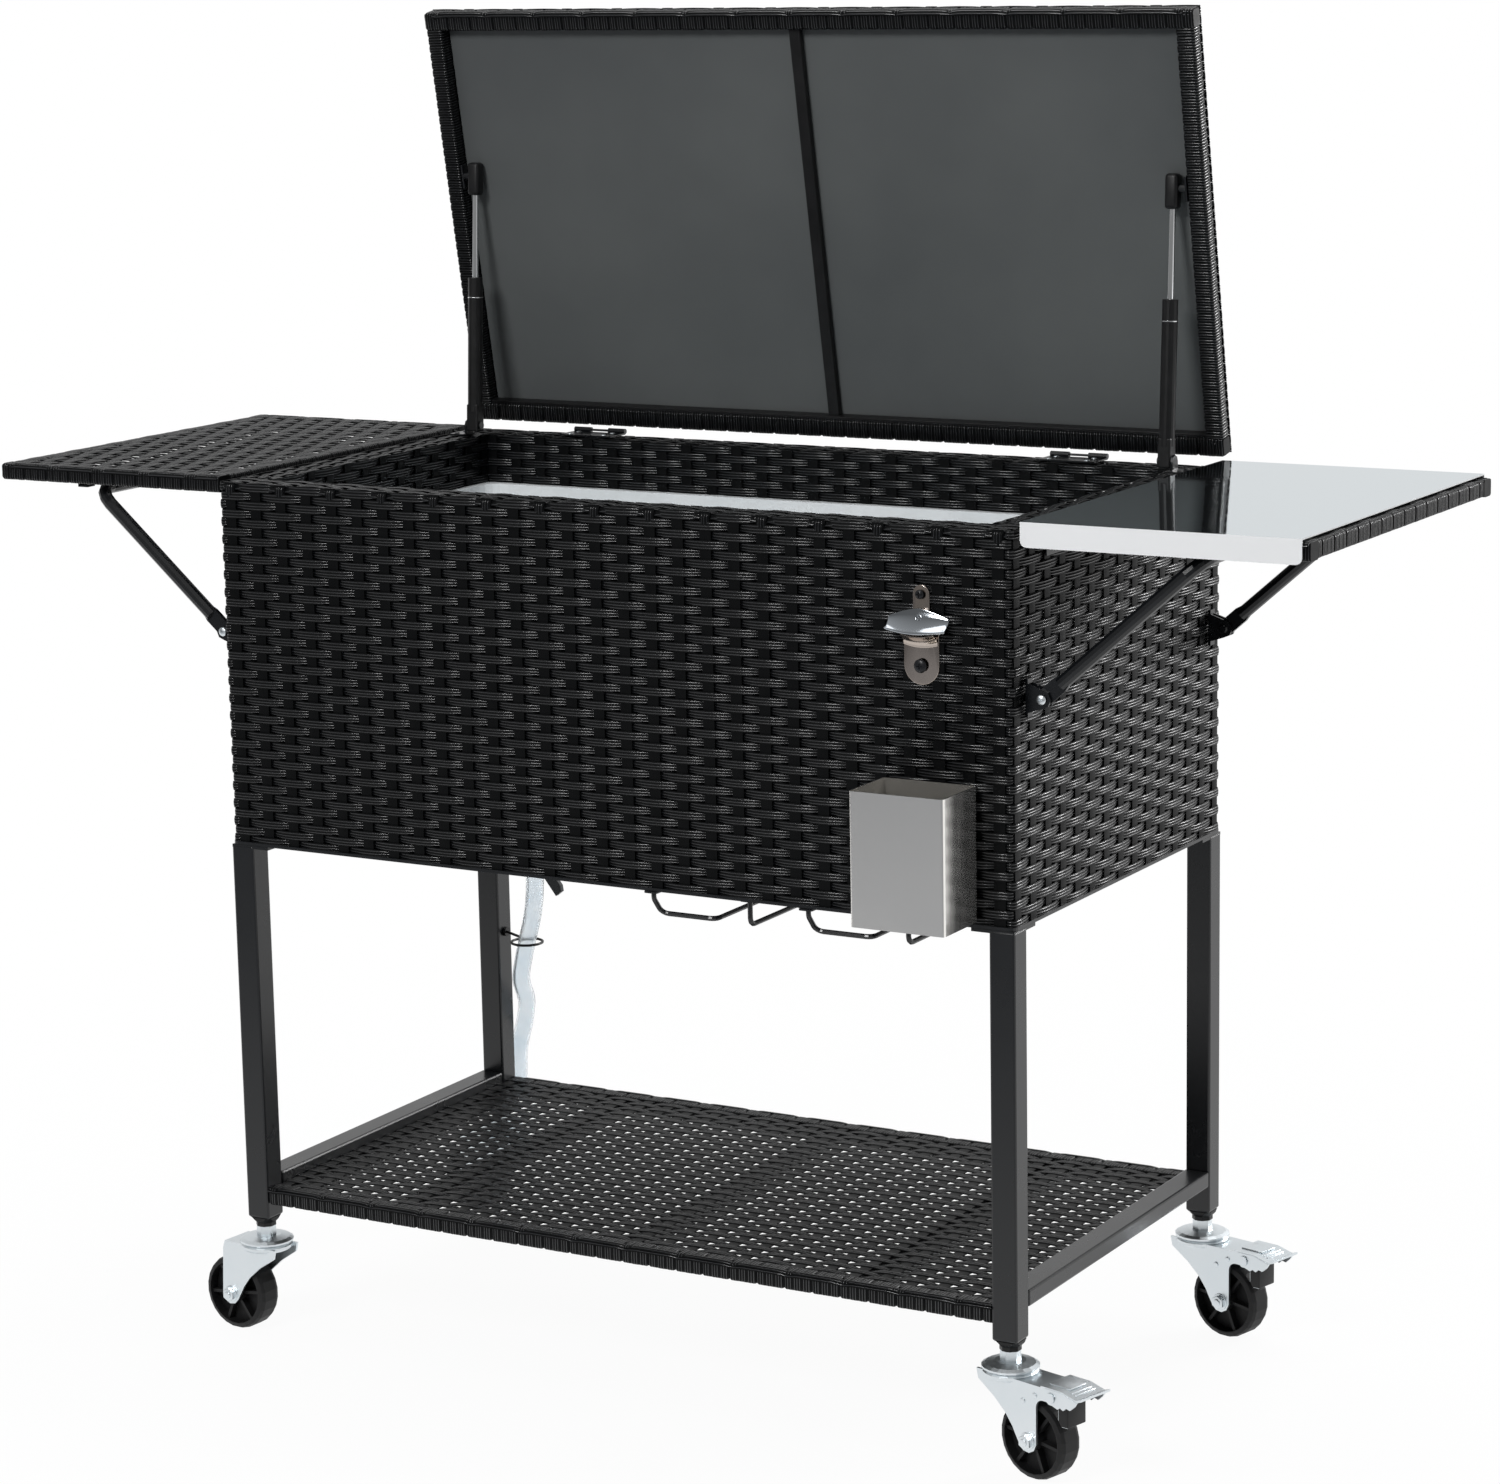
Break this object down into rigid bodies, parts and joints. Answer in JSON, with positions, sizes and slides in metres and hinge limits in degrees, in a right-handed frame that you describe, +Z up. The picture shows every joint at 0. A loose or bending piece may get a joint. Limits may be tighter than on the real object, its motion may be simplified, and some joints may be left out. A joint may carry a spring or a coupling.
{
  "type": "rolling patio cooler",
  "caption": "Rolling patio cooler: woven box with an ice tub, a gas-strut lid, folding side trays, a lower shelf and braked swivel casters.",
  "frame": {"origin": "on the floor under the middle of the cart's bounding box as it stands open, drain hose left out", "axes": "+X to the cart's right as seen from its front, +Y to its back, +Z up"},
  "size_m": [1.377, 0.5455, 1.2788],
  "materials": {
    "wicker": "black resin weave, satin",
    "frame_paint": "satin black paint",
    "tub_plastic": "white moulded plastic",
    "lid_board": "grey board, matte",
    "black_plastic": "black plastic, satin",
    "zinc": "bright zinc plate",
    "stainless": "polished stainless steel",
    "hose_vinyl": "clear vinyl, frosted",
    "tap_grey": "dark grey plastic",
    "wheel_black": "hard black plastic, matte"
  },
  "bodies": {
    "cart": {"bottle_opener": "stainless", "bottom_panel": "frame_paint", "box_shell": "wicker", "brace_bracket_front_left": "frame_paint", "brace_bracket_front_right": "frame_paint", "brace_bracket_rear_left": "frame_paint", "brace_bracket_rear_right": "frame_paint", "cap_catcher": "stainless", "caster_stem_front_left": "zinc", "caster_stem_front_right": "zinc", "caster_stem_rear_left": "zinc", "caster_stem_rear_right": "zinc", "drain_fitting": "tap_grey", "drain_hose": "hose_vinyl", "hose_tie": "black_plastic", "ice_tub": "tub_plastic", "leg_front_left": "frame_paint", "leg_front_right": "frame_paint", "leg_plug_front_left": "black_plastic", "leg_plug_front_right": "black_plastic", "leg_plug_rear_left": "black_plastic", "leg_plug_rear_right": "black_plastic", "leg_rear_left": "frame_paint", "leg_rear_right": "frame_paint", "lid_hinge_left": "frame_paint", "lid_hinge_right": "frame_paint", "shelf": "wicker", "side_rail_left": "frame_paint", "side_rail_right": "frame_paint", "stemware_rack_left": "frame_paint", "stemware_rack_right": "frame_paint", "strut_ear_left": "frame_paint", "strut_ear_right": "frame_paint", "tray_hinge_left": "frame_paint", "tray_hinge_right": "frame_paint"},
    "lid": {"lid_frame": "wicker", "lid_lining": "lid_board", "lid_cover": "wicker", "strut_stud_left": "frame_paint", "strut_stud_right": "frame_paint"},
    "strut_tube_left": {"strut_tube_left": "black_plastic"},
    "strut_rod_left": {"strut_rod_left": "zinc"},
    "brace_left": {"brace_left": "frame_paint"},
    "strut_tube_right": {"strut_tube_right": "black_plastic"},
    "strut_rod_right": {"strut_rod_right": "zinc"},
    "brace_right": {"brace_right": "frame_paint"},
    "left_tray": {"left_tray": "wicker"},
    "right_tray": {"right_tray_frame": "wicker", "right_tray_pan": "stainless"},
    "drain_tap": {"drain_tap_lever": "tap_grey"},
    "fork_front_left": {"caster_fork_front_left": "zinc"},
    "wheel_front_left": {"caster_wheel_front_left": "wheel_black"},
    "fork_front_right": {"caster_fork_front_right": "zinc"},
    "wheel_front_right": {"caster_wheel_front_right": "wheel_black"},
    "pedal_front_right": {"brake_pedal_front_right": "zinc"},
    "fork_rear_left": {"caster_fork_rear_left": "zinc"},
    "wheel_rear_left": {"caster_wheel_rear_left": "wheel_black"},
    "fork_rear_right": {"caster_fork_rear_right": "zinc"},
    "wheel_rear_right": {"caster_wheel_rear_right": "wheel_black"},
    "pedal_rear_right": {"brake_pedal_rear_right": "zinc"}
  },
  "joints": [
    {"name": "lid_hinge", "type": "hinge", "parent": "cart", "child": "lid", "pos_m": [0, 0.24843, 0.8515], "axis": [1, 0, 0], "range_deg": [0, 79.6], "stiffness_Nm_per_rad": 3.2, "springref_deg": -48.7},
    {"name": "strut_left_swing", "type": "hinge", "parent": "cart", "child": "strut_tube_left", "pos_m": [-0.386, 0.19243, 0.858], "axis": [1, 0, 0], "range_deg": [0, 93.62]},
    {"name": "strut_left_stroke", "type": "slide", "parent": "strut_tube_left", "child": "strut_rod_left", "axis": [0, 0.0597, 0.9982], "range_m": [-0.047, 0]},
    {"name": "strut_right_swing", "type": "hinge", "parent": "cart", "child": "strut_tube_right", "pos_m": [0.386, 0.19243, 0.858], "axis": [1, 0, 0], "range_deg": [0, 93.62]},
    {"name": "strut_right_stroke", "type": "slide", "parent": "strut_tube_right", "child": "strut_rod_right", "axis": [0, 0.0597, 0.9982], "range_m": [-0.047, 0]},
    {"name": "left_tray_hinge", "type": "hinge", "parent": "cart", "child": "left_tray", "pos_m": [-0.4275, 0.02043, 0.83], "axis": [0, -1, 0], "range_deg": [0, 80]},
    {"name": "left_brace_hinge", "type": "hinge", "parent": "cart", "child": "brace_left", "pos_m": [-0.436, 0.02043, 0.699], "axis": [0, -1, 0], "range_deg": [0, 128]},
    {"name": "right_tray_hinge", "type": "hinge", "parent": "cart", "child": "right_tray", "pos_m": [0.4275, 0.02043, 0.83], "axis": [0, 1, 0], "range_deg": [0, 80]},
    {"name": "right_brace_hinge", "type": "hinge", "parent": "cart", "child": "brace_right", "pos_m": [0.436, 0.02043, 0.699], "axis": [0, 1, 0], "range_deg": [0, 128]},
    {"name": "drain_tap_turn", "type": "hinge", "parent": "cart", "child": "drain_tap", "pos_m": [-0.3045, 0.15443, 0.4467], "axis": [0, 1, 0], "range_deg": [-52, 38]},
    {"name": "front_left_swivel", "type": "hinge", "parent": "cart", "child": "fork_front_left", "pos_m": [-0.4075, -0.19207, 0.0915], "axis": [0, 0, 1], "continuous": true},
    {"name": "front_left_wheel_spin", "type": "hinge", "parent": "fork_front_left", "child": "wheel_front_left", "pos_m": [-0.44231, -0.18841, 0.03718], "axis": [-0.1045, -0.9945, 0], "continuous": true},
    {"name": "front_right_swivel", "type": "hinge", "parent": "cart", "child": "fork_front_right", "pos_m": [0.4075, -0.19207, 0.0915], "axis": [0, 0, 1], "continuous": true},
    {"name": "front_right_wheel_spin", "type": "hinge", "parent": "fork_front_right", "child": "wheel_front_right", "pos_m": [0.44114, -0.20172, 0.03718], "axis": [0.2756, 0.9613, 0], "continuous": true},
    {"name": "front_right_brake", "type": "hinge", "parent": "fork_front_right", "child": "pedal_front_right", "pos_m": [0.46998, -0.20999, 0.0855], "axis": [0.2756, 0.9613, 0], "range_deg": [0, 8]},
    {"name": "rear_left_swivel", "type": "hinge", "parent": "cart", "child": "fork_rear_left", "pos_m": [-0.4075, 0.23293, 0.0915], "axis": [0, 0, 1], "continuous": true},
    {"name": "rear_left_wheel_spin", "type": "hinge", "parent": "fork_rear_left", "child": "wheel_rear_left", "pos_m": [-0.44216, 0.2378, 0.03718], "axis": [-0.1392, -0.9903, 0], "continuous": true},
    {"name": "rear_right_swivel", "type": "hinge", "parent": "cart", "child": "fork_rear_right", "pos_m": [0.4075, 0.23293, 0.0915], "axis": [0, 0, 1], "continuous": true},
    {"name": "rear_right_wheel_spin", "type": "hinge", "parent": "fork_rear_right", "child": "wheel_rear_right", "pos_m": [0.44146, 0.22446, 0.03718], "axis": [0.2419, 0.9703, 0], "continuous": true},
    {"name": "rear_right_brake", "type": "hinge", "parent": "fork_rear_right", "child": "pedal_rear_right", "pos_m": [0.47057, 0.2172, 0.0855], "axis": [0.2419, 0.9703, 0], "range_deg": [0, 8]}
  ],
  "couplings": [
    {"joint": "strut_left_swing", "follows": "lid_hinge", "ratio": 1.1737},
    {"joint": "strut_left_stroke", "follows": "lid_hinge", "m_per_rad": -0.033701},
    {"joint": "strut_right_swing", "follows": "lid_hinge", "ratio": 1.1737},
    {"joint": "strut_right_stroke", "follows": "lid_hinge", "m_per_rad": -0.033701},
    {"joint": "left_brace_hinge", "follows": "left_tray_hinge", "ratio": 1.6},
    {"joint": "right_brace_hinge", "follows": "right_tray_hinge", "ratio": 1.6}
  ]
}
